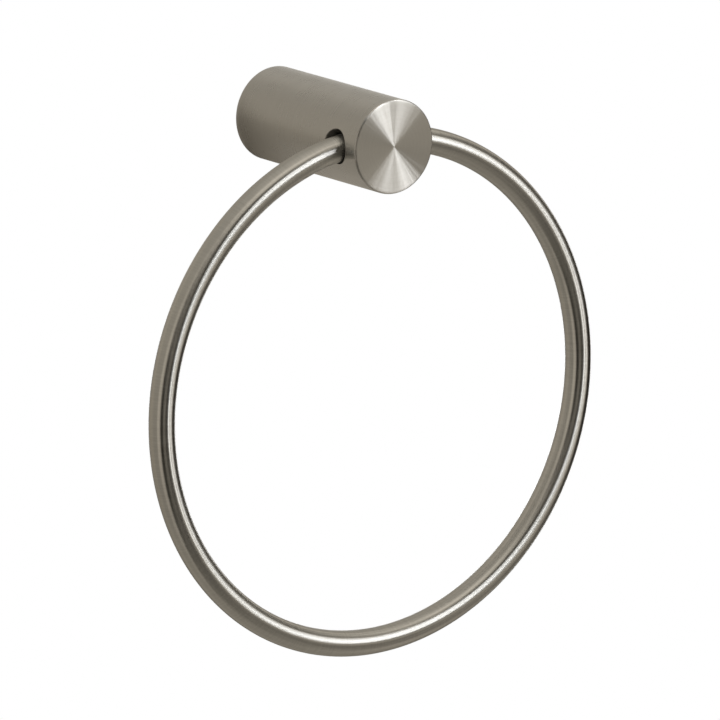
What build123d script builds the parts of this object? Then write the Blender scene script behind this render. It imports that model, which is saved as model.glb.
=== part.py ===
"""Towel ring: a turned stainless post with a closed round ring that hangs loose in its cross hole.

Frame: millimetres, +Z up. The origin is the centre of the post's wall face. The wall is the plane y = 0,
the post stands out from it along -Y, and the ring hangs in a plane parallel to the wall.
"""

import os
from math import sqrt

from build123d import *

# Post, turned from solid bar
post_diameter = 29.0
post_length = 62.0
post_front_chamfer = 0.4
post_back_chamfer = 0.25
post_wall = 3.0  # round the recess in the back end

# Ring, one bent bar
ring_outer_diameter = 164.0
bar_diameter = 8.0

# Cross hole that the ring swings in
hole_setback = 10.5  # from the post's front face to the hole's axis
hole_edge_break = 0.3
ring_play = 0.6  # room round the bowed bar when it lies central in the hole
ring_seat_gap = 0.3  # room left under the bar at the hole's mouths when the ring hangs

# Fixing disc on the wall, inside the post's recess
disc_thickness = 7.0
disc_gap = 0.2  # between the disc's rim and the recess
disc_chamfer = 0.4
head_room = 2.0  # depth left in front of the disc for the screw heads
groove_depth = 1.25
wall_screw_hole = 4.5
wall_screw_head = 9.0
wall_screw_head_angle = 90.0
wall_screw_rim = 0.8  # from a countersink's edge to the disc's rim

# Grub screw under the post, with a right-angled cone point
grub_diameter = 4.0
grub_gap = 0.1  # round the screw in its hole
grub_sink = 0.2  # below the post's surface
grub_point_gap = 0.05  # from the cone to the flanks of the groove
grub_point_flat = 0.4
grub_socket_flats = 2.0
grub_socket_depth = 1.5
grub_chamfer = 0.3

# Sizes that follow
post_radius = post_diameter / 2
recess_radius = post_radius - post_wall
recess_depth = disc_thickness + head_room
disc_radius = recess_radius - disc_gap
groove_radius = disc_radius - groove_depth
groove_y = -disc_thickness / 2
wall_screw_spacing = 2 * (disc_radius - wall_screw_rim) - wall_screw_head

bar_radius = bar_diameter / 2
ring_radius = (ring_outer_diameter - bar_diameter) / 2
hole_y = hole_setback - post_length
# How far the bar's inner side drops from the middle of the post to the hole's mouths
bar_bow = ring_radius - bar_radius - sqrt((ring_radius - bar_radius) ** 2 - post_radius**2)
hole_diameter = bar_diameter + bar_bow + 2 * ring_play
ring_top_z = bar_bow / 2 - (ring_play - ring_seat_gap)

cone_apex = groove_radius + grub_point_gap * sqrt(2)
grub_tip = cone_apex + grub_point_flat / 2
grub_end = post_radius - grub_sink
grub_shoulder = cone_apex + grub_diameter / 2

os.makedirs("parts", exist_ok=True)

# Turned pieces have their half section in the upper half of the plane x = 0, as (distance along Y, radius),
# so that no seam crosses the mouths of the cross hole
turning_axis = Axis.Y

# Post: solid bar with a chamfered front edge and the recess for the disc
with BuildPart() as post:
    with BuildSketch(Plane.YZ):
        with BuildLine():
            Polyline(
                (-recess_depth, 0),
                (-post_length, 0),
                (-post_length, post_radius - post_front_chamfer),
                (-post_length + post_front_chamfer, post_radius),
                (-post_back_chamfer, post_radius),
                (0, post_radius - post_back_chamfer),
                (0, recess_radius + post_back_chamfer),
                (-post_back_chamfer, recess_radius),
                (-recess_depth, recess_radius),
                close=True,
            )
        make_face()
    revolve(axis=turning_axis)
    # Cross hole for the ring, with its two mouths broken
    with BuildSketch(Plane.YZ):
        with Locations((hole_y, 0)):
            Circle(hole_diameter / 2)
    extrude(amount=post_radius, both=True, mode=Mode.SUBTRACT)
    hole_mouths = post.edges(Select.LAST).filter_by(GeomType.BSPLINE)
    chamfer(hole_mouths, hole_edge_break)
    # Tapped hole underneath, left plain
    with BuildSketch(Plane.XY):
        with Locations((0, groove_y)):
            Circle(grub_diameter / 2 + grub_gap)
    extrude(amount=-post_radius, mode=Mode.SUBTRACT)
post.part.label = "post"
export_step(post.part, "parts/post.step")

# Ring: the bar's round section carried once round the ring's centre
with BuildPart() as ring:
    with BuildSketch(Plane.YZ):
        with Locations((hole_y, ring_top_z)):
            Circle(bar_radius)
    revolve(axis=Axis((0, hole_y, ring_top_z - ring_radius), (0, 1, 0)))
ring.part.label = "ring"
export_step(ring.part, "parts/ring.step")

# Fixing disc: V groove round the rim, two countersunk holes side by side
with BuildPart() as fixing_disc:
    with BuildSketch(Plane.YZ):
        with BuildLine():
            Polyline(
                (0, 0),
                (0, disc_radius),
                (groove_y + groove_depth, disc_radius),
                (groove_y, groove_radius),
                (groove_y - groove_depth, disc_radius),
                (-disc_thickness + disc_chamfer, disc_radius),
                (-disc_thickness, disc_radius - disc_chamfer),
                (-disc_thickness, 0),
                close=True,
            )
        make_face()
    revolve(axis=turning_axis)
    disc_front = Plane((0, -disc_thickness, 0), x_dir=(1, 0, 0), z_dir=(0, -1, 0))
    with Locations(disc_front):
        with GridLocations(wall_screw_spacing, 0, 2, 1):
            CounterSinkHole(
                wall_screw_hole / 2,
                wall_screw_head / 2,
                counter_sink_angle=wall_screw_head_angle,
            )
fixing_disc.part.label = "fixing_disc"
export_step(fixing_disc.part, "parts/fixing_disc.step")

# Grub screw: cone point up into the groove, hexagon socket at the outer end
with BuildPart() as grub_screw:
    with BuildSketch(Plane.XZ.offset(-groove_y)):
        with BuildLine():
            Polyline(
                (0, -grub_tip),
                (grub_point_flat / 2, -grub_tip),
                (grub_diameter / 2, -grub_shoulder),
                (grub_diameter / 2, -grub_end + grub_chamfer),
                (grub_diameter / 2 - grub_chamfer, -grub_end),
                (0, -grub_end),
                close=True,
            )
        make_face()
    revolve(axis=Axis((0, groove_y, 0), (0, 0, 1)))
    with BuildSketch(Plane.XY.offset(-grub_end)):
        with Locations((0, groove_y)):
            RegularPolygon(grub_socket_flats / 2, 6, major_radius=False)
    extrude(amount=grub_socket_depth, mode=Mode.SUBTRACT)
grub_screw.part.label = "grub_screw"
export_step(grub_screw.part, "parts/grub_screw.step")
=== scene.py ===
"""Towel ring: a turned stainless post, and a brushed ring that hangs loose in the post's cross hole.

Lengths are in metres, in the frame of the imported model: the wall is the plane y = 0, the post stands
out along -Y and Z is up.
"""

import bmesh
import bpy
import numpy as np
from mathutils import Matrix, Vector


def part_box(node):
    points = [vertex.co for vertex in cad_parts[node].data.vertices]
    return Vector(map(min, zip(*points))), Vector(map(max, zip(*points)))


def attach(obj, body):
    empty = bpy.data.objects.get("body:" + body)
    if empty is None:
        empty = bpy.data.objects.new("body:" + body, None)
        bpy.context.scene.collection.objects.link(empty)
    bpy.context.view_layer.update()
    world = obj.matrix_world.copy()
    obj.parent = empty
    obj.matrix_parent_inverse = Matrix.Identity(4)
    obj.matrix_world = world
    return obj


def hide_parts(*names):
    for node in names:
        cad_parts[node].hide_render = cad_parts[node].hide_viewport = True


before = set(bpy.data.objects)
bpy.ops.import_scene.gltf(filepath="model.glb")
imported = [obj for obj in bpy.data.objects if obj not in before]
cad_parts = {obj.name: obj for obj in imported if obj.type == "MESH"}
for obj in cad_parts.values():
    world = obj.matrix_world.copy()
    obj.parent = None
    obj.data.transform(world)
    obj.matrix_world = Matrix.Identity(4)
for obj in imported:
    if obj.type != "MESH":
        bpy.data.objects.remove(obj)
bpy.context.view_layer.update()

MM = 0.001

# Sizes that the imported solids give
post_low, post_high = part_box("post")
ring_low, ring_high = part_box("ring")
disc_low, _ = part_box("fixing_disc")
screw_low, screw_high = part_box("grub_screw")
post_radius = post_high.x
post_length = -post_low.y
ring_centre = (ring_low + ring_high) / 2
bar_radius = (ring_high.y - ring_low.y) / 2
ring_radius = (ring_high.z - ring_low.z) / 2 - bar_radius
disc_thickness = -disc_low.y
screw_y = (screw_low.y + screw_high.y) / 2
screw_radius = (screw_high.y - screw_low.y) / 2
screw_length = screw_high.z - screw_low.z

# Sizes inside the solids, as the part's source has them
back_chamfer = 0.25 * MM
post_wall = 3.0 * MM
head_room = 2.0 * MM
ring_play = 0.6 * MM
mouth_break = 0.3 * MM
screw_gap = 0.1 * MM
screw_chamfer = 0.3 * MM
screw_point_flat = 0.4 * MM
socket_flats = 2.0 * MM
socket_depth = 1.5 * MM
recess_radius = post_radius - post_wall
recess_depth = disc_thickness + head_room
tapped_radius = screw_radius + screw_gap

# The cross hole clears the bar, the bar's bow across the post, and the play
inner_radius = ring_radius - bar_radius
bar_bow = inner_radius - np.sqrt(inner_radius**2 - post_radius**2)
hole_radius = bar_radius + bar_bow / 2 + ring_play
hole_y = ring_centre.y

# The post's front edge is rounded here, where the solid has a smaller chamfer
front_round = 0.6 * MM


# Meshes

merge_distance = 0.001 * MM

# The post's grid has this many columns, and a square window of cells round each mouth of its two holes
post_columns = 192
mouth_half, mouth_cells = 8 * MM, 34
screw_half, screw_cells = 2.9 * MM, 14

# Angles round the post's axis, from +X over +Z
top, underside, right_side = 0.5 * np.pi, 1.5 * np.pi, 2 * np.pi


def grid_quads(points):
    """Corner numbers of the cells between neighbouring rows and columns of a grid of points."""
    number = np.arange(points.shape[0] * points.shape[1]).reshape(points.shape[:2])
    corners = [number[:-1, :-1], number[:-1, 1:], number[1:, 1:], number[1:, :-1]]
    return np.stack(corners, axis=-1)


def make_piece(name, patches, material, crease_deg=180, unrolled=None):
    """One mesh from grids of points, with their shared edges and poles merged.

    A patch is (points, kept): points by row and column, and which cells stay, or None for all of them.
    Points that no cell uses are left out. Edges that turn by more than crease_deg stay sharp. unrolled
    gives the first patch's points a place in the piece's UV map.
    """
    quads = []
    offset = 0
    for points, kept in patches:
        cells = grid_quads(points)
        quads.append((cells.reshape(-1, 4) if kept is None else cells[kept]) + offset)
        offset += points.shape[0] * points.shape[1]
    used, quads = np.unique(np.concatenate(quads), return_inverse=True)
    all_points = np.concatenate([points.reshape(-1, 3) for points, _ in patches])
    mesh = bpy.data.meshes.new(name)
    mesh.from_pydata(all_points[used], [], quads.reshape(-1, 4))
    if unrolled is not None:
        corner_uv = unrolled.reshape(-1, 2)[used[quads.ravel()]]
        uv_map = mesh.uv_layers.new(name="unrolled")
        uv_map.data.foreach_set("uv", corner_uv.astype(np.float32).ravel())
    work = bmesh.new()
    work.from_mesh(mesh)
    bmesh.ops.remove_doubles(work, verts=work.verts, dist=merge_distance)
    work.to_mesh(mesh)
    work.free()
    mesh.polygons.foreach_set("use_smooth", np.ones(len(mesh.polygons), bool))
    mesh.set_sharp_from_angle(angle=np.radians(crease_deg))
    mesh.materials.append(material)
    piece = bpy.data.objects.new(name, mesh)
    bpy.context.scene.collection.objects.link(piece)
    return piece


def blend(start, end, steps):
    """Lines of points that go straight from start to end in equal steps."""
    share = np.linspace(0, 1, steps + 1)[:, None, None]
    return start + share * (end - start)


def lathe(section, angles):
    """A section of (y, radius) turned round the Y axis: x and z are the radius times cosine and sine."""
    y, radius = section.T[:, :, None]
    x = radius * np.cos(angles)
    z = radius * np.sin(angles)
    return np.stack([x, np.broadcast_to(y, x.shape), z], axis=-1)


def post_section():
    """The post's half section as points of (y, radius), and the first row of each named stretch of it.

    It goes from the recess floor's middle, over the back rim and along the barrel, to the front face's
    middle. A stretch is straight, and has its first point and its number of rows here. The front edge
    is a quarter circle.
    """
    stretches = {
        "recess floor": ((-recess_depth, 0), 10),
        "recess wall": ((-recess_depth, recess_radius), 4),
        "screw window inside": ((screw_y - screw_half, recess_radius), screw_cells),
        "recess mouth": ((screw_y + screw_half, recess_radius), 1),
        "inner chamfer": ((-back_chamfer, recess_radius), 1),
        "back rim": ((0, recess_radius + back_chamfer), 4),
        "outer chamfer": ((0, post_radius - back_chamfer), 1),
        "barrel end": ((-back_chamfer, post_radius), 1),
        "screw window": ((screw_y + screw_half, post_radius), screw_cells),
        "barrel": ((screw_y - screw_half, post_radius), 60),
        "mouth window": ((hole_y + mouth_half, post_radius), mouth_cells),
        "barrel front": ((hole_y - mouth_half, post_radius), 5),
    }
    front_rows, face_rows = 6, 28
    turn = np.linspace(0, np.pi / 2, front_rows + 1)
    front_edge = np.stack([
        -post_length + front_round * (1 - np.sin(turn)),
        post_radius - front_round * (1 - np.cos(turn)),
    ], axis=-1)
    starts, rows = zip(*stretches.values())
    corners = np.array([*starts, *front_edge, (-post_length, 0)])
    spans = zip(corners[:-1], corners[1:], [*rows, *[1] * front_rows, face_rows])
    points = [np.linspace(start, end, steps, endpoint=False) for start, end, steps in spans]
    return np.vstack([*points, corners[-1:]]), dict(zip(stretches, np.cumsum([0, *rows])))


def window_edge(first, left, cells):
    """Row and column numbers round a square window, from its first row and left column and back there."""
    there = np.arange(cells)
    back = there[::-1] + 1
    near, far = np.full(cells, 0), np.full(cells, cells)
    row = np.concatenate([near, there, far, back, [0]])
    column = np.concatenate([there, far, back, near, [0]])
    return first + row, left + column


def on_barrel(unrolled, radius):
    """Points of (angle, y) on a barrel: x and z are the radius times the angle's cosine and sine."""
    angle, y = np.moveaxis(unrolled, -1, 0)
    return np.stack([radius * np.cos(angle), y, radius * np.sin(angle)], axis=-1)


def direction_from(middle, edge):
    """The direction on the unrolled barrel from a hole's middle to each point of its window's edge."""
    angle, y = (edge - middle).T
    return np.arctan2(post_radius * angle, y)


def hole_outline(turn, radius, middle, barrel_radius):
    """Where a round hole meets the barrel that it is bored square into, as (angle, y).

    A point lies the hole's radius times the turn's cosine along the barrel, and round the barrel by the
    angle whose sine is the hole's radius times the turn's sine over the barrel's radius.
    """
    angle = np.arcsin(radius * np.sin(turn) / barrel_radius)
    return middle + np.stack([angle, radius * np.cos(turn)], axis=-1)


def cross_hole_patch(edge):
    """The cross hole, from the window on the +X side to its mirror image on the -X side.

    It goes on the barrel from the square window to the round mouth by straight blending in the unrolled
    plane, over the mouth's rounded edge on a quadratic curve, and straight along the bore.
    """
    barrel_steps, rounding_steps, bore_steps = 10, 5, 30
    middle = np.array([right_side, hole_y])
    turn = direction_from(middle, edge)
    lip = hole_outline(turn, hole_radius + mouth_break, middle, post_radius)
    barrel = on_barrel(blend(edge, lip, barrel_steps), post_radius)
    corner = on_barrel(hole_outline(turn, hole_radius, middle, post_radius), post_radius)
    bore_end = corner - [mouth_break, 0, 0]
    share = np.linspace(0, 1, rounding_steps + 1)[1:, None, None]
    rounded = (1 - share)**2 * barrel[-1] + 2 * share * (1 - share) * corner + share**2 * bore_end
    near = np.concatenate([barrel, rounded])
    far = near[::-1] * [-1, 1, 1]
    bore = blend(near[-1], far[0], bore_steps)[1:-1]
    return np.concatenate([near, bore, far])


def screw_hole_patch(edge):
    """The set screw's hole, from its window in the barrel to the one in the recess wall behind it.

    On both walls it goes from the square window to the round hole by straight blending in the unrolled
    plane, and between them straight along the hole.
    """
    wall_steps, hole_steps = 4, 6
    middle = np.array([underside, screw_y])
    turn = direction_from(middle, edge)
    outer, inner = [
        on_barrel(blend(edge, hole_outline(turn, tapped_radius, middle, radius), wall_steps), radius)
        for radius in (post_radius, recess_radius)
    ]
    hole = blend(outer[-1], inner[-1], hole_steps)[1:-1]
    return np.concatenate([outer, hole, inner[::-1]])


def post_patches():
    """The turned post: its section turned round the Y axis, with windows, and a patch for each hole.

    The grid's columns start at the top. The cross hole's windows lie a quarter turn to either side, and
    the set screw's two windows half a turn round, in the barrel and in the recess wall.
    """
    section, first_row = post_section()
    angles = top + np.linspace(0, 2 * np.pi, post_columns + 1)
    kept = np.ones((len(section) - 1, post_columns), bool)

    def cut_window(stretch, cells, quarter_turns):
        """Leave a window out of the grid, and give the points of its edge as (angle, y)."""
        first = first_row[stretch]
        left = quarter_turns * post_columns // 4 - cells // 2
        kept[first:first + cells, left:left + cells] = False
        row, column = window_edge(first, left, cells)
        return np.stack([angles[column], section[row, 0]], axis=-1)

    cut_window("mouth window", mouth_cells, quarter_turns=1)
    mouth_edge = cut_window("mouth window", mouth_cells, quarter_turns=3)
    cut_window("screw window inside", screw_cells, quarter_turns=2)
    screw_edge = cut_window("screw window", screw_cells, quarter_turns=2)
    return [
        (lathe(section, angles), kept),
        (cross_hole_patch(mouth_edge), None),
        (screw_hole_patch(screw_edge), None),
    ]


def ring_patch():
    """A round bar bent to a closed ring, and its unrolled map.

    Going round the ring by one angle from the top, and round the bar by another, a point lies at the
    ring's radius plus the bar's radius times the second angle's cosine, and that radius times its sine
    to the front. The map's first number is the length along the ring, and its second the length round
    the bar.
    """
    ring_steps, bar_steps = 480, 64
    round_ring, round_bar = np.meshgrid(
        np.linspace(0, 2 * np.pi, ring_steps + 1), np.linspace(0, 2 * np.pi, bar_steps + 1), indexing="ij"
    )
    reach = ring_radius + bar_radius * np.cos(round_bar)
    points = np.stack([
        ring_centre.x + reach * np.sin(round_ring),
        ring_centre.y - bar_radius * np.sin(round_bar),
        ring_centre.z + reach * np.cos(round_ring),
    ], axis=-1)
    return points, np.stack([ring_radius * round_ring, bar_radius * round_bar], axis=-1)


def set_screw_patch():
    """A set screw with a cut thread, a cone point up and a hexagon socket down.

    Its radius is the least of the cone, the end's chamfer and a V thread. The thread's depth is a
    clipped triangle wave of the length over the pitch less the turn, which makes it a helix. The
    socket's outline is half its flats over the cosine of the angle from the nearest flat.
    """
    turn_steps, length_steps = 72, 90
    pitch = 0.7 * MM
    thread_depth = 0.43 * MM
    crest_share, root_share = 0.08, 0.12
    drill_point = 0.3 * MM
    turn = np.linspace(0, 2 * np.pi, turn_steps + 1)
    along = np.linspace(0, screw_length, length_steps + 1)[:, None]
    wave = np.abs(2 * ((along / pitch - turn / (2 * np.pi)) % 1) - 1)
    depth_share = np.clip((wave - crest_share) / (1 - crest_share - root_share), 0, 1)
    thread = screw_radius - thread_depth * depth_share
    cone = screw_point_flat / 2 + along
    chamfer = screw_radius - screw_chamfer + screw_length - along
    outside = np.minimum(thread, np.minimum(cone, chamfer))
    hexagon = socket_flats / 2 / np.cos((turn + np.pi / 6) % (np.pi / 3) - np.pi / 6)
    middle = np.zeros_like(turn)
    radius = np.vstack([middle, outside, hexagon, hexagon, middle])
    socket_floor = screw_length - socket_depth
    socket = [screw_length, socket_floor, socket_floor - drill_point]
    depth = np.concatenate([[0], along[:, 0], socket])[:, None]
    return np.stack([
        radius * np.cos(turn),
        screw_y - radius * np.sin(turn),
        np.broadcast_to(screw_high.z - depth, radius.shape),
    ], axis=-1)


# Materials

# Several sockets of the Mix node share a name, so these are their numbers
FACTOR, FLOAT_A, FLOAT_B, COLOUR_A, COLOUR_B = 0, 2, 3, 6, 7
MIXED_COLOUR = 2


def linear(hex_code):
    """An sRGB hex colour as linear red, green, blue and alpha."""
    srgb = np.array([int(hex_code[i:i + 2], 16) for i in (1, 3, 5)]) / 255
    rgb = np.where(srgb <= 0.04045, srgb / 12.92, ((srgb + 0.055) / 1.055) ** 2.4)
    return (*rgb, 1.0)


def add(tree, kind, inputs=(), **settings):
    """A shader node of that kind with its settings, and with its inputs by name or number.

    An input is a value, a socket to link, or a node whose first output is linked.
    """
    made = tree.nodes.new("ShaderNode" + kind)
    for name, value in settings.items():
        setattr(made, name, value)
    for name, value in dict(inputs).items():
        source = value.outputs[0] if isinstance(value, bpy.types.Node) else value
        if isinstance(source, bpy.types.NodeSocket):
            tree.links.new(source, made.inputs[name])
        else:
            made.inputs[name].default_value = source
    return made


def new_tree(owner):
    """The owner's node tree, emptied."""
    owner.use_nodes = True
    owner.node_tree.nodes.clear()
    return owner.node_tree


def steel(name, dark, light, surface, **cut):
    """A stainless steel whose machining lines blur what it mirrors across them.

    surface adds its own nodes for this cut and gives four of them: the direction across the lines, the
    height of the lines from 0 to 1, the tone from 0 to 1 between the dark and the light colour, and the
    roughness.
    """
    line_depth = 0.01 * MM
    line_strength = 0.3
    material = bpy.data.materials.new(name)
    tree = new_tree(material)
    across, height, tone, roughness = surface(tree, **cut)
    tangent = add(tree, "VectorTransform", {"Vector": across}, vector_type="VECTOR",
                  convert_from="OBJECT", convert_to="WORLD")
    colour = add(tree, "Mix", {FACTOR: tone, COLOUR_A: linear(dark), COLOUR_B: linear(light)},
                 data_type="RGBA")
    bump = add(tree, "Bump", {"Strength": line_strength, "Distance": line_depth, "Height": height})
    shader = add(tree, "BsdfPrincipled", {
        "Base Color": colour.outputs[MIXED_COLOUR],
        "Metallic": 1.0,
        "Roughness": roughness,
        "Anisotropic": 1.0,
        "Tangent": tangent,
        "Normal": bump,
    })
    add(tree, "OutputMaterial", {"Surface": shader})
    return material


def turned_lines(tree, axis, centre, spacing, side_roughness, face_roughness):
    """Lines round an axis, as a lathe leaves them on a barrel and on an end face alike.

    The lines are noise of the distance along the axis plus the distance from it, which grows along the
    cut on both. Chatter turns their direction a little, by noise of the angle round the axis with its
    own seed. Cloudy patches change the tone.
    """
    line_detail = 2.0
    side_chatter, face_chatter = 0.05, 0.55
    chatter_count = 8
    chatter_seed = 5
    chatter_run = 2 * MM
    chatter_detail, chatter_roughness = 4.0, 0.9
    patch_size = 5 * MM
    patch_detail = 3.0
    patch_share = 0.5
    side_until, face_from = 0.6, 0.95
    roughness_spread = 0.06
    place = add(tree, "TexCoord")
    spot = add(tree, "VectorMath", {0: place.outputs["Object"], 1: centre}, operation="SUBTRACT")
    around = add(tree, "VectorMath", {0: axis, 1: spot}, operation="CROSS_PRODUCT")
    radius = add(tree, "VectorMath", {0: around}, operation="LENGTH")
    along = add(tree, "VectorMath", {0: axis, 1: spot}, operation="DOT_PRODUCT")
    feed = add(tree, "Math", {0: along.outputs["Value"], 1: radius.outputs["Value"]}, operation="ADD")
    lines = add(tree, "TexNoise", {"W": feed, "Scale": 1 / spacing, "Detail": line_detail},
                noise_dimensions="1D")

    angle = add(tree, "VectorMath", {0: around}, operation="NORMALIZE")
    run = [share / (chatter_run * chatter_count) for share in axis]
    chatter_spot = add(tree, "VectorMath", {0: spot, 1: run, 2: angle}, operation="MULTIPLY_ADD")
    chatter = add(tree, "TexNoise", {
        "Vector": chatter_spot,
        "W": chatter_seed,
        "Scale": chatter_count,
        "Detail": chatter_detail,
        "Roughness": chatter_roughness,
    }, noise_dimensions="4D")
    facing = add(tree, "VectorMath", {0: axis, 1: place.outputs["Normal"]}, operation="DOT_PRODUCT")
    faced = add(tree, "Math", {0: facing.outputs["Value"]}, operation="ABSOLUTE")
    most = add(tree, "MapRange", {"Value": faced, "To Min": side_chatter, "To Max": face_chatter})
    least = add(tree, "Math", {0: most, 1: -1.0}, operation="MULTIPLY")
    skew = add(tree, "MapRange", {"Value": chatter, "To Min": least, "To Max": most})
    straight = add(tree, "VectorMath", {0: place.outputs["Normal"], 1: around}, operation="CROSS_PRODUCT")
    across = add(tree, "VectorMath", {0: around, 1: skew, 2: straight}, operation="MULTIPLY_ADD")

    patches = add(tree, "TexNoise", {
        "Vector": place.outputs["Object"],
        "Scale": 1 / patch_size,
        "Detail": patch_detail,
    })
    tone = add(tree, "Mix", {FACTOR: patch_share, FLOAT_A: lines, FLOAT_B: patches})
    smoothest = add(tree, "MapRange", {
        "Value": faced,
        "From Min": side_until,
        "From Max": face_from,
        "To Min": side_roughness,
        "To Max": face_roughness,
    }, interpolation_type="SMOOTHSTEP")
    roughness = add(tree, "Math", {0: tone, 1: roughness_spread, 2: smoothest}, operation="MULTIPLY_ADD")
    return across, lines, tone, roughness


def brushed_lines(tree):
    """Lines round the ring's bar, square to the ring, and a smoother place where it turns in its hole.

    The lines are noise of the unrolled map, drawn out round the bar, and coarser noise over the whole
    ring changes the tone.
    """
    spacing = 0.6 * MM
    drawn_out = 14
    line_detail = 2.0
    patch_size = 9 * MM
    patch_detail = 2.0
    patch_share = 0.3
    rub_reach, rub_end = 13 * MM, 18 * MM
    rubbed_roughness, satin_roughness, roughness_spread = 0.22, 0.27, 0.06
    place = add(tree, "TexCoord")
    spot = add(tree, "VectorMath", {0: place.outputs["Object"], 1: ring_centre}, operation="SUBTRACT")
    along = add(tree, "VectorMath", {0: (0, 1, 0), 1: spot}, operation="CROSS_PRODUCT")
    line_spot = add(tree, "Mapping", {"Vector": place.outputs["UV"], "Scale": (1, 1 / drawn_out, 1)})
    lines = add(tree, "TexNoise", {"Vector": line_spot, "Scale": 1 / spacing, "Detail": line_detail},
                noise_dimensions="2D")
    patches = add(tree, "TexNoise", {
        "Vector": place.outputs["Object"],
        "Scale": 1 / patch_size,
        "Detail": patch_detail,
    })
    tone = add(tree, "Mix", {FACTOR: patch_share, FLOAT_A: lines, FLOAT_B: patches})
    ring_top = ring_centre + Vector((0, 0, ring_radius))
    from_top = add(tree, "VectorMath", {0: place.outputs["Object"], 1: ring_top}, operation="DISTANCE")
    smoothest = add(tree, "MapRange", {
        "Value": from_top.outputs["Value"],
        "From Min": rub_reach,
        "From Max": rub_end,
        "To Min": rubbed_roughness,
        "To Max": satin_roughness,
    }, interpolation_type="SMOOTHSTEP")
    roughness = add(tree, "Math", {0: tone, 1: roughness_spread, 2: smoothest}, operation="MULTIPLY_ADD")
    return along, lines, tone, roughness


# Stainless steel bar, turned satin on its barrel and faced on its end: the lines of the cut run round
# it, so the lamps show as a bow tie on the end and as a soft grey on the barrel. The real lines, about
# 0.1 mm apart, are too fine to show, so they are drawn 0.7 mm apart.
turned_steel = steel(
    "satin_turned_stainless_steel", "#C6C6C4", "#D8D8D6", turned_lines,
    axis=(0, 1, 0), centre=(0, 0, 0), spacing=0.7 * MM, side_roughness=0.25, face_roughness=0.28,
)

# Stainless steel bar, brushed round and bent to a ring: the lamps draw out to bright bands along it,
# and the fine lines across it break their edges a little. The real lines, about 0.1 mm apart, are drawn
# 0.6 mm apart to show.
brushed_steel = steel("brushed_stainless_steel_bar", "#BFBFBC", "#DEDEDB", brushed_lines)

# Stainless steel disc as it comes off the lathe: darker and duller, with a coarse cut of 0.3 mm drawn
# 0.9 mm apart.
disc_steel = steel(
    "lathe_cut_stainless_steel", "#B4B2AD", "#CAC8C4", turned_lines,
    axis=(0, 1, 0), centre=(0, 0, 0), spacing=0.9 * MM, side_roughness=0.40, face_roughness=0.38,
)

# Stainless steel set screw with a rolled thread: dark and half bright, with the die's lines of 0.05 mm
# drawn 0.3 mm apart.
screw_steel = steel(
    "rolled_stainless_steel_screw", "#9C9A96", "#B6B4B0", turned_lines,
    axis=(0, 0, 1), centre=(0, screw_y, 0), spacing=0.3 * MM, side_roughness=0.36, face_roughness=0.34,
)


# Pieces

post = make_piece("turned_post", post_patches(), turned_steel, crease_deg=30)
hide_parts("post")
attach(post, "mount")

ring_points, ring_map = ring_patch()
ring = make_piece("ring_bar", [(ring_points, None)], brushed_steel, crease_deg=60, unrolled=ring_map)
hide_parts("ring")
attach(ring, "ring")

screw = make_piece("set_screw", [(set_screw_patch(), None)], screw_steel, crease_deg=25)
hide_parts("grub_screw")
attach(screw, "mount")

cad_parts["fixing_disc"].data.materials[0] = disc_steel


# Studio, with azimuths and elevations in degrees as seen from the ring's centre

lamp_distance = 2.2
tent_radius, tent_depth = 2.5, 1.22
wall_gap = 1 * MM  # behind the post's back


def direction(azimuth, elevation):
    """From the object: azimuth 0 is the -Y side and 90 the +X side, elevation is above the horizon."""
    a, e = np.radians(azimuth), np.radians(elevation)
    x, y, z = np.broadcast_arrays(np.sin(a) * np.cos(e), -np.cos(a) * np.cos(e), np.sin(e))
    return np.stack([x, y, z], axis=-1)


def soft_band(value, low, high, soft):
    """1 between low and high and 0 outside, with a smooth change at either end that is as wide as soft."""
    inside = np.clip(np.minimum(value - low, high - value) / soft + 0.5, 0, 1)
    return inside * inside * (3 - 2 * inside)


def tent_patch(shades, flats, tints):
    """A tent with a flat floor round the object, and a map of its brightness and coolness, which paints
    the reflections that the steel mirrors.

    Each direction's point lies at the tent's radius, or nearer where that would be under its floor. The
    brightness follows the elevation through shades, which are pairs of elevation and brightness. Flats
    hang in front of that, each one in front of those before it. A flat is its first and last azimuth,
    its lowest and highest elevation, the width of its soft edge and its brightness. Round patches
    change the coolness in the same way. Each is the azimuth and elevation of its middle, its reach from
    there and its coolness.
    """
    columns, rows = 360, 180
    plain_coolness = 0.3
    tint_edge = 30
    azimuth, elevation = np.meshgrid(
        np.linspace(-180, 180, columns + 1), np.linspace(-90, 90, rows + 1), indexing="ij"
    )
    outward = direction(azimuth, elevation)
    down = np.maximum(-outward[..., 2], tent_depth / tent_radius)
    points = np.array(ring_centre) + (tent_depth / down)[..., None] * outward
    level = np.interp(elevation, *zip(*shades))
    for first, last, lowest, highest, edge, brightness in flats:
        from_middle = (azimuth - (first + last) / 2 + 180) % 360 - 180
        cover = soft_band(from_middle, (first - last) / 2, (last - first) / 2, edge)
        cover = cover * soft_band(elevation, lowest, highest, edge)
        level = level + cover * (brightness - level)
    coolness = np.full_like(level, plain_coolness)
    for middle_azimuth, middle_elevation, reach, cool in tints:
        towards = outward @ direction(middle_azimuth, middle_elevation)
        away = np.degrees(np.arccos(np.clip(towards, -1, 1)))
        coolness = coolness + soft_band(away, -reach, reach, tint_edge) * (cool - coolness)
    return points, np.stack([level, coolness], axis=-1)


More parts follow.
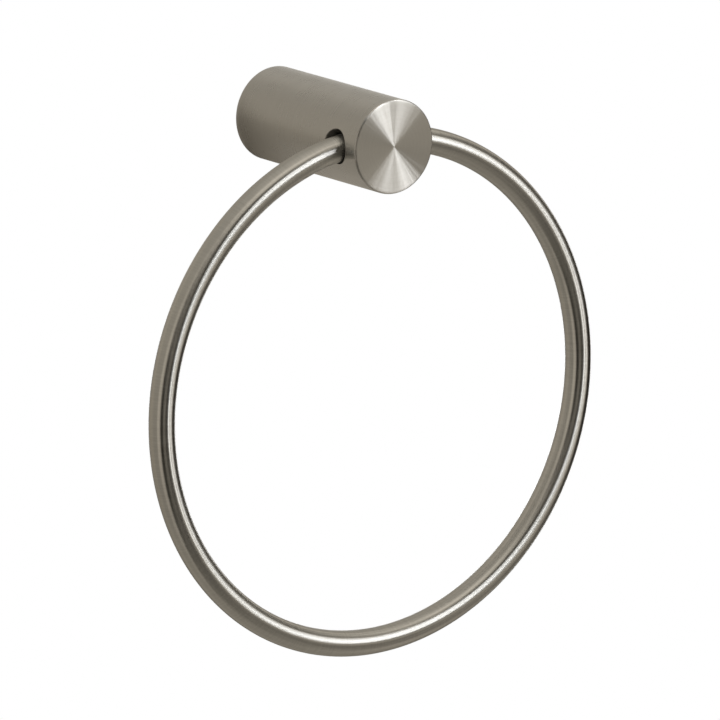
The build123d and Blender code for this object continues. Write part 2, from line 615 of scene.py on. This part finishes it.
def painted_shade_patch(shades, last, edge, fade):
    """A flat ring round the post's foot, and a map of its brightness and cover, which paints shade there
    for the steel to mirror.

    Angles go from the +X side over the top, and distances are millimetres from the post's axis. Each of
    shades is a distance, the brightness there, and the first angle of the shaded part, which ends at
    last. It has a soft edge, and fades out at the outer rim.
    """
    columns, rows = 180, 40
    distance, brightness, first = zip(*shades)
    inner, outer = distance[0], distance[-1]
    turn, radius = np.meshgrid(
        np.linspace(0, 360, columns + 1), np.linspace(inner, outer, rows + 1), indexing="ij"
    )
    x = radius * MM * np.cos(np.radians(turn))
    z = radius * MM * np.sin(np.radians(turn))
    points = np.stack([x, np.full_like(x, wall_gap), z], axis=-1)
    level = np.interp(radius, distance, brightness)
    cover = soft_band(turn, np.interp(radius, distance, first), last, edge)
    cover = cover * soft_band(radius, -outer, outer - fade / 2, fade)
    return points, np.stack([level, cover], axis=-1)


def painted_reflection_glow():
    """A glow by its map, which paints the reflections that the steel mirrors: the first number is its
    brightness, the second its coolness.
    """
    material = bpy.data.materials.new("painted_reflection_glow")
    material.cycles.emission_sampling = "NONE"
    tree = new_tree(material)
    place = add(tree, "TexCoord")
    level, coolness, _ = add(tree, "SeparateXYZ", {"Vector": place.outputs["UV"]}).outputs
    tint = add(tree, "Mix", {FACTOR: coolness, COLOUR_A: linear("#FFF1DA"), COLOUR_B: linear("#FFF9EE")},
               data_type="RGBA")
    glow = add(tree, "Emission", {"Color": tint.outputs[MIXED_COLOUR], "Strength": level})
    add(tree, "OutputMaterial", {"Surface": glow})
    return material


def painted_wall_shade():
    """A glow of painted shade by its map: the first number is its brightness and tint, darker and warmer
    near the post, the second its cover.
    """
    material = bpy.data.materials.new("painted_shade_glow")
    material.cycles.emission_sampling = "NONE"
    tree = new_tree(material)
    place = add(tree, "TexCoord")
    level, cover, _ = add(tree, "SeparateXYZ", {"Vector": place.outputs["UV"]}).outputs
    tint = add(tree, "Mix", {FACTOR: level, COLOUR_A: linear("#FFEDD1"), COLOUR_B: linear("#FFFBF4")},
               data_type="RGBA")
    glow = add(tree, "Emission", {"Color": tint.outputs[MIXED_COLOUR], "Strength": level})
    clear = add(tree, "BsdfTransparent")
    mixed = add(tree, "MixShader", {0: cover, 1: clear, 2: glow})
    add(tree, "OutputMaterial", {"Surface": mixed})
    return material


def floor_paint():
    """White paint that fades into the white behind it with the distance from the middle."""
    fade_start, fade_end = 0.6, 1.4
    material = bpy.data.materials.new("white_floor")
    tree = new_tree(material)
    place = add(tree, "TexCoord")
    level_spot = add(tree, "VectorMath", {0: place.outputs["Object"], 1: (1, 1, 0)}, operation="MULTIPLY")
    reach = add(tree, "VectorMath", {0: level_spot}, operation="LENGTH")
    fade = add(tree, "MapRange", {
        "Value": reach.outputs["Value"],
        "From Min": fade_start,
        "From Max": fade_end,
    }, interpolation_type="SMOOTHSTEP")
    paint = add(tree, "BsdfDiffuse", {"Color": linear("#F4F4F2")})
    clear = add(tree, "BsdfTransparent")
    mixed = add(tree, "MixShader", {0: fade, 1: paint, 2: clear})
    add(tree, "OutputMaterial", {"Surface": mixed})
    return material


def white_room():
    """A white room, a little dimmer as light than as it is seen."""
    room_light, room_seen = 0.9, 1.0
    world = bpy.data.worlds.new("studio")
    tree = new_tree(world)
    path = add(tree, "LightPath")
    seen = add(tree, "Math", {0: path.outputs["Is Camera Ray"], 1: path.outputs["Is Glossy Ray"]},
               operation="MAXIMUM")
    seen = add(tree, "Math", {0: seen, 1: path.outputs["Is Transmission Ray"]}, operation="MAXIMUM")
    level = add(tree, "MapRange", {"Value": seen, "To Min": room_light, "To Max": room_seen})
    background = add(tree, "Background", {"Color": linear("#FFFFFF"), "Strength": level})
    add(tree, "OutputWorld", {"Surface": background})
    return world


def show_in_mirrors_only(piece):
    """Hide a piece of the studio from all but the steel's mirror rays."""
    piece.visible_camera = False
    piece.visible_diffuse = False
    piece.visible_shadow = False
    piece.visible_transmission = False


def softbox(name, first, last, lowest, highest, radiance):
    """A flat lamp that faces the ring's centre and fills these azimuths and elevations there."""
    lamp = bpy.data.lights.new(name, "AREA")
    lamp.shape = "RECTANGLE"
    lamp.size = 2 * lamp_distance * np.tan(np.radians((last - first) / 2))
    lamp.size_y = 2 * lamp_distance * np.tan(np.radians((highest - lowest) / 2))
    lamp.energy = radiance * np.pi * lamp.size * lamp.size_y
    placed = bpy.data.objects.new(name, lamp)
    away = Vector(direction((first + last) / 2, (lowest + highest) / 2))
    placed.location = ring_centre + lamp_distance * away
    placed.rotation_euler = away.to_track_quat("Z", "Y").to_euler()
    placed.visible_camera = False
    bpy.context.scene.collection.objects.link(placed)


# Painted reflections: the tent glows with this map, only the steel's mirror rays see it, and it lights
# nothing. Its brightness by elevation, its flats and its tints stand in for what the steel would mirror in
# a studio.
tent_shades = [(-90, 0.25), (-30, 0.50), (0, 0.82), (30, 1.0), (90, 0.57)]
flats = {
    "painted grey reflection at the left": (-140, -37, -10, 80, 12, 0.38),
    "painted dim reflection low at the left": (-125, -49, -60, -4, 12, 0.27),
    "painted grey reflection at the back": (110, 222, -45, 70, 24, 0.41),
    "painted dim reflection low at the back": (106, 237, -50, -6, 30, 0.30),
    "pale strip at the left": (-77, -56, -27, 25, 4, 0.60),
    "painted dark reflection round the camera": (-50, -25, -60, 49, 3, 0.01),
    "painted grey reflection in front": (-27, 20, -57, 39, 3, 0.13),
    "painted black reflection in front": (-7, 19, -29, 42, 3, 0.0),
    "painted dark reflection at the right": (60, 106, -36, 40, 4, 0.01),
    "painted grey reflection under the lamps": (21, 60, -50, -12, 4, 0.37),
    "painted pale reflection right of the lamps": (54, 73, 7, 34, 8, 0.5),
    "painted grey reflection over the lamps": (22, 73, 40, 53, 4, 0.20),
    "painted white reflection above": (-35, 20, 52, 66, 6, 1.2),
    "painted grey reflection behind the lamps": (18, 58, -2, 38, 3, 0.3),
    "painted dark reflection at the back": (108, 176, -48, 2, 4, 0.10),
}
tints = {
    "painted warm tint behind at the left": (-146, -19, 25, 0.05),
    "painted cool tint behind at the right": (146, 3, 22, 1.0),
    "painted cool tint overhead": (0, 90, 45, 0.6),
}
tent_points, tent_map = tent_patch(tent_shades, flats.values(), tints.values())
tent = make_piece("light_tent", [(tent_points, None)], painted_reflection_glow(), unrolled=tent_map)
show_in_mirrors_only(tent)

# Painted shade: the barrel mirrors a glowing ring round its own foot, which is darker close to the post
# and below it
painted_shade_levels = [(16, 0.136, 160), (30, 0.22, 198), (50, 0.49, 206), (95, 0.56, 206)]
wall_points, wall_map = painted_shade_patch(painted_shade_levels, last=340, edge=50, fade=40)
wall = make_piece("painted_shade_glow", [(wall_points, None)], painted_wall_shade(), unrolled=wall_map)
show_in_mirrors_only(wall)

# First and last azimuth, lowest and highest elevation, and radiance
softboxes = {
    "left_softbox": (19.4, 27.2, 3.5, 31, 6.6),
    "middle_softbox": (28.8, 34.0, 2, 37, 2.3),
    "right_softbox": (38.9, 46.5, 3, 36, 3.9),
    "far_softbox": (46.5, 56.5, 3, 36, 2.1),
    "wall_softbox": (138, 158, -16, -2, 3.0),
    "side_softbox": (118, 127, -26, 0, 2.2),
}
for name, fill in softboxes.items():
    softbox(name, *fill)

floor_z = -1.35
floor_side = [-1.5, 1.5]
floor_points = np.stack(np.meshgrid(floor_side, floor_side, [floor_z], indexing="ij"), axis=-1)[:, :, 0]
floor = make_piece("floor", [(floor_points, None)], floor_paint())

bpy.context.scene.world = white_room()


# Camera, fitted to the outlines of the post and the ring

camera_azimuth, camera_elevation, camera_roll = -36.02, 13.04, 0.163
camera_distance = 3.19
sensor_width_mm, focal_length_mm = 36.0, 527.17
aim = Vector((-4.828, -51.486, -67.091)) * MM
back = Vector(direction(camera_azimuth, camera_elevation))
lens = bpy.data.cameras.new("camera")
lens.sensor_width = sensor_width_mm
lens.lens = focal_length_mm
camera = bpy.data.objects.new("camera", lens)
upright = back.to_track_quat("Z", "Y").to_matrix()
rolled = upright @ Matrix.Rotation(np.radians(camera_roll), 3, "Z")
camera.matrix_world = Matrix.Translation(aim + camera_distance * back) @ rolled.to_4x4()
bpy.context.scene.collection.objects.link(camera)
bpy.context.scene.camera = camera

bpy.context.scene.view_settings.view_transform = "Standard"
